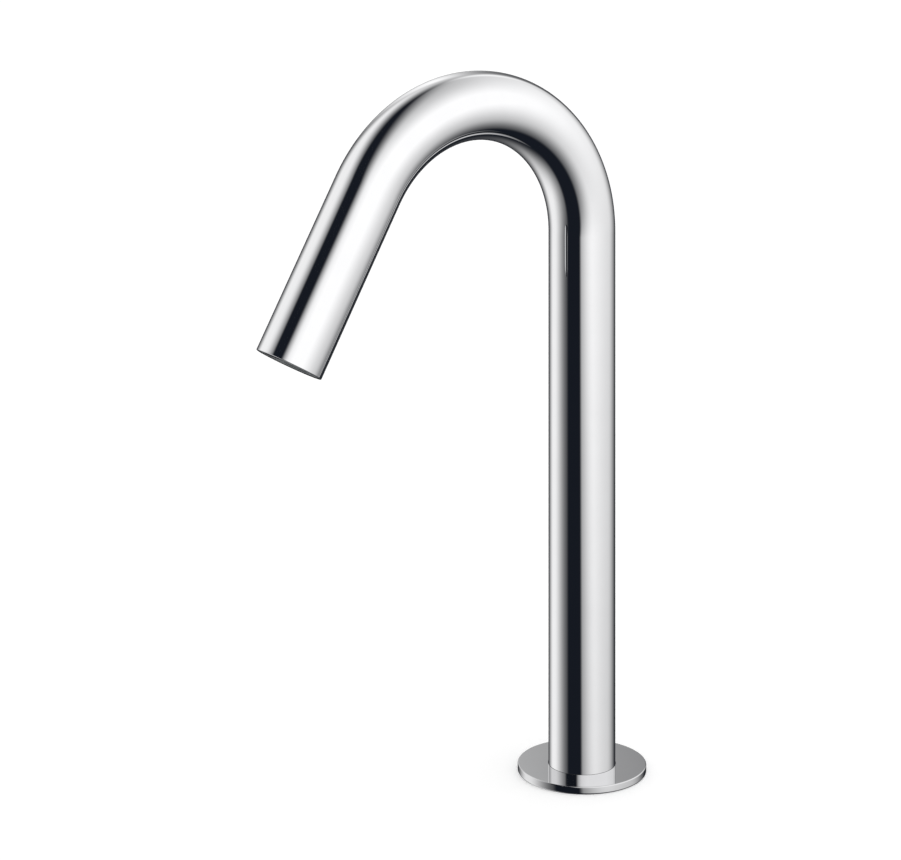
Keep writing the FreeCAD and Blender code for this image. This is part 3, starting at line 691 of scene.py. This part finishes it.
# ---- Gooseneck and flange ----
def gooseneck():
    """One drawn tube: up the column, round the bend and down the spout, its rim polished round."""
    bm = bmesh.new()
    bmesh.ops.create_circle(bm, segments=round_sides, radius=tube_r, cap_ends=False)
    bmesh.ops.translate(bm, vec=(0, 0, column_foot), verts=bm.verts)

    def drawn_on(edges, step):
        made = bmesh.ops.extrude_edge_only(bm, edges=edges)["geom"]
        made_verts = [v for v in made if isinstance(v, bmesh.types.BMVert)]
        bmesh.ops.translate(bm, vec=step, verts=made_verts)
        return [e for e in made if isinstance(e, bmesh.types.BMEdge) and e.is_boundary]

    top = drawn_on(bm.edges[:], (0, 0, bend_start - column_foot))
    bent = bmesh.ops.spin(
        bm, geom=top, cent=(0, -bend_radius, bend_start), axis=(1, 0, 0), angle=sweep,
        steps=bend_steps)["geom_last"]
    bent = [e for e in bent if isinstance(e, bmesh.types.BMEdge)]
    down_spout = Vector((0, -math.sin(sweep), math.cos(sweep)))
    drawn_on(bent, down_spout * spout_run)
    bmesh.ops.recalc_face_normals(bm, faces=bm.faces)
    bmesh.ops.solidify(bm, geom=bm.faces[:], thickness=tube_wall)
    bmesh.ops.transform(bm, matrix=in_outlet.inverted(), verts=bm.verts)
    soften(bm, ring_edges(bm, tube_r, 0), rim_round, 5)
    soften(bm, ring_edges(bm, tube_r - tube_wall, 0), fine_round, 2)
    # The spout's bore takes the second finish.
    for face in bm.faces:
        middle = face.calc_center_median()
        if middle.xy.length < tube_r - tube_wall / 2 and 0 < middle.z < spout_run:
            face.material_index = 1
    bmesh.ops.transform(bm, matrix=in_outlet, verts=bm.verts)
    return bm


def flange():
    """Turned disc: flat top, edge rounded and rounder at its foot, and a seat for the column."""
    recess_in, recess_out, recess_top = gasket_recess
    bm = turned([
        (flange_bore_r, 0), (flange_bore_r, column_foot), (flange_seat_r, column_foot),
        (flange_seat_r, flange_height), (flange_r, flange_height), (flange_r, 0),
        (recess_out, 0), (recess_out, recess_top), (recess_in, recess_top), (recess_in, 0),
    ], sides=flange_sides)
    soften(bm, ring_edges(bm, flange_r, flange_height), flange_edge_round, 6)
    soften(bm, ring_edges(bm, flange_r, 0), flange_foot_round, 8)
    soften(bm, ring_edges(bm, flange_seat_r, flange_height), fine_round, 2)
    return bm


def shade_bead():
    """Fine black bead in the flange's seat: painted shade, a dark ring where the column meets the
    flange.
    """
    inner, outer, foot, top = shade_bead_ring
    across, down = shade_bead_slope
    return turned([
        (inner, foot), (outer, foot), (outer, top - down), (outer - across, top), (inner, top)])


tube = piece("gooseneck", gooseneck(), chrome, "spout", ["spout_tube"])
tube.data.materials.append(tarnished)
# The flange wears the darker copy of the chrome, which is painted shade.
piece("round_flange", flange(), flange_chrome_painted_darker, "spout", ["base_flange"])
# The black bead is painted shade along the joint of column and flange.
piece("joint_shade_bead", shade_bead(), rubber, "spout")


# ---- Shank and water inlet ----
def threaded_shank():
    """Brass shank: the spigot that is brazed into the column, thread relief and fine thread."""
    groove_low, groove_high = spigot_groove
    bm = turned([
        (water_way_r, spigot_top),
        (spigot_r - spigot_chamfer, spigot_top), (spigot_r, spigot_top - spigot_chamfer),
        (spigot_r, groove_high), (shank_root_r, groove_high),
        (shank_root_r, groove_low), (spigot_r, groove_low),
        (spigot_r, column_foot), (shank_crest_r, column_foot),
        (shank_crest_r, 0), (shank_root_r, 0), (shank_root_r, shank_foot),
        (foot_bore_r, shank_foot), (foot_bore_r, foot_bore_top), (water_way_r, foot_bore_top),
    ], sides=shank_sides)
    soften(bm, ring_edges(bm, foot_bore_r, shank_foot), foot_bore_chamfer, 1)
    cut_thread(bm, shank_root_r, shank_crest_r, shank_pitch, shank_foot, -thread_relief)
    return bm


def inlet():
    """Inlet nipple: the CAD shape, its plain end turned down and threaded."""
    low, high = inlet_thread
    centre = Vector((0, inlet_y))
    bm = copied("inlet_nipple")
    for vert in bm.verts:
        off = vert.co.xy - centre
        if vert.co.z < high + near and abs(off.length - inlet_crest_r) < near:
            vert.co.xy = centre + off * inlet_root_r / off.length
    cut_thread(
        bm, inlet_root_r, inlet_crest_r, inlet_pitch, low, high - inlet_relief,
        y=inlet_y, sunk=0.2)
    return bm


piece("threaded_shank", threaded_shank(), brass, "spout", ["shank"])
piece("threaded_inlet", inlet(), brass, "spout", ["inlet_nipple"])


# ---- In the outlet ----
def nozzle():
    """Nozzle body: the CAD shape with its face's circles trued."""
    bm = copied("nozzle_body", in_outlet)
    trued(bm, nozzle_r, nozzle_face)
    trued(bm, aerator_socket_r, nozzle_face, y=aerator_y)
    trued(bm, pocket_r, nozzle_face)
    for x in (-screw_x, screw_x):
        trued(bm, screw_hole_r, nozzle_face, x=x, y=screw_y, cuts=3)
    return bm


def aerator_shell():
    """Aerator housing: the CAD shape, turned down behind its notched head and threaded."""
    bm = copied("aerator_housing", in_outlet)
    centre = Vector((0, aerator_y))
    head = nozzle_face + aerator_notch + aerator_collar
    shoulder = head + aerator_crest_r - aerator_root_r
    for height in (head, shoulder):
        bmesh.ops.bisect_plane(
            bm, geom=bm.verts[:] + bm.edges[:] + bm.faces[:],
            plane_co=(0, 0, height), plane_no=(0, 0, 1), dist=1e-4)
    trued(bm, aerator_crest_r, head, y=aerator_y)
    trued(bm, aerator_lip_r, nozzle_face, y=aerator_y)
    for vert in bm.verts:
        off = vert.co.xy - centre
        if vert.co.z > (head + shoulder) / 2 and off.length > aerator_root_r:
            vert.co.xy = centre + off * aerator_root_r / off.length
    cut_thread(
        bm, aerator_root_r, aerator_crest_r, aerator_pitch,
        head + aerator_relief, nozzle_face + aerator_height, y=aerator_y, sunk=0.15)
    return bm


piece("nozzle", nozzle(), nozzle_grey, "spout", ["nozzle_body"], in_outlet)
piece(
    "aerator_shell", aerator_shell(), nozzle_grey, "aerator",
    ["aerator_housing"], in_outlet)


# ---- The CAD's own shapes that stay ----
finishes = {
    "flange_gasket": rubber, "shank_o_ring": rubber, "clamp_gasket": rubber,
    "nozzle_o_ring": rubber, "aerator_seal": rubber, "lead_grommet": rubber,
    "clamp_washer": zinc, "lock_nut": brass, "inlet_nut": brass, "nozzle_stop_ring": brass,
    "nozzle_screws": stainless, "crimp_sleeves": stainless, "aerator_screen": strainer_cloth,
    "aerator_grid": case_black, "sensor_case": case_black, "lead_socket": case_black,
    "flow_regulator": acetal_white, "lead_clips": acetal_white, "foot_cap": acetal_white,
    "water_pipe": pipe_milky, "sensor_lead": sheath, "sensor_window": window_acrylic,
    "sensor_board": laminate, "board_chip": chip_epoxy, "emitter_diode": emitter_epoxy,
    "receiver_diode": receiver_epoxy, "socket_contacts": gold,
    "spout_tube": chrome, "base_flange": chrome, "shank": brass, "inlet_nipple": brass,
    "nozzle_body": nozzle_grey, "aerator_housing": nozzle_grey,
}
for node, finish_on_it in finishes.items():
    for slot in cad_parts[node].material_slots:
        slot.material = finish_on_it


# Mirror images leave out the deck and the flange, and so everything that those two would hide.
for low_piece in (
        "round_flange", "joint_shade_bead", "flange_gasket", "threaded_shank", "shank_o_ring",
        "clamp_gasket", "clamp_washer", "lock_nut", "foot_cap", "inlet_nut", "threaded_inlet",
        "lead_socket", "socket_contacts", "lead_grommet", "water_pipe", "sensor_lead",
        "lead_clips"):
    bpy.data.objects[low_piece].visible_glossy = False


# ---- Deck ----
def deck():
    """Wide pale board with the hole that the shank goes through."""
    bm = bmesh.new()
    for radius in (deck_r, deck_hole_r):
        bmesh.ops.create_circle(bm, segments=deck_sides, radius=radius, cap_ends=False)
    bmesh.ops.bridge_loops(bm, edges=bm.edges[:])
    bmesh.ops.translate(bm, vec=(0, 0, -deck_sunk), verts=bm.verts)
    bmesh.ops.scale(bm, vec=(0.001, 0.001, 0.001), verts=bm.verts)
    bm.normal_update()
    if next(iter(bm.faces)).normal.z < 0:
        bmesh.ops.reverse_faces(bm, faces=bm.faces)
    mesh = bpy.data.meshes.new("deck")
    bm.to_mesh(mesh)
    bm.free()
    mesh.materials.append(pale_deck())
    board = bpy.data.objects.new("deck", mesh)
    board.visible_glossy = False         # the chrome mirrors softboxes that reach below it
    scene.collection.objects.link(board)


deck()
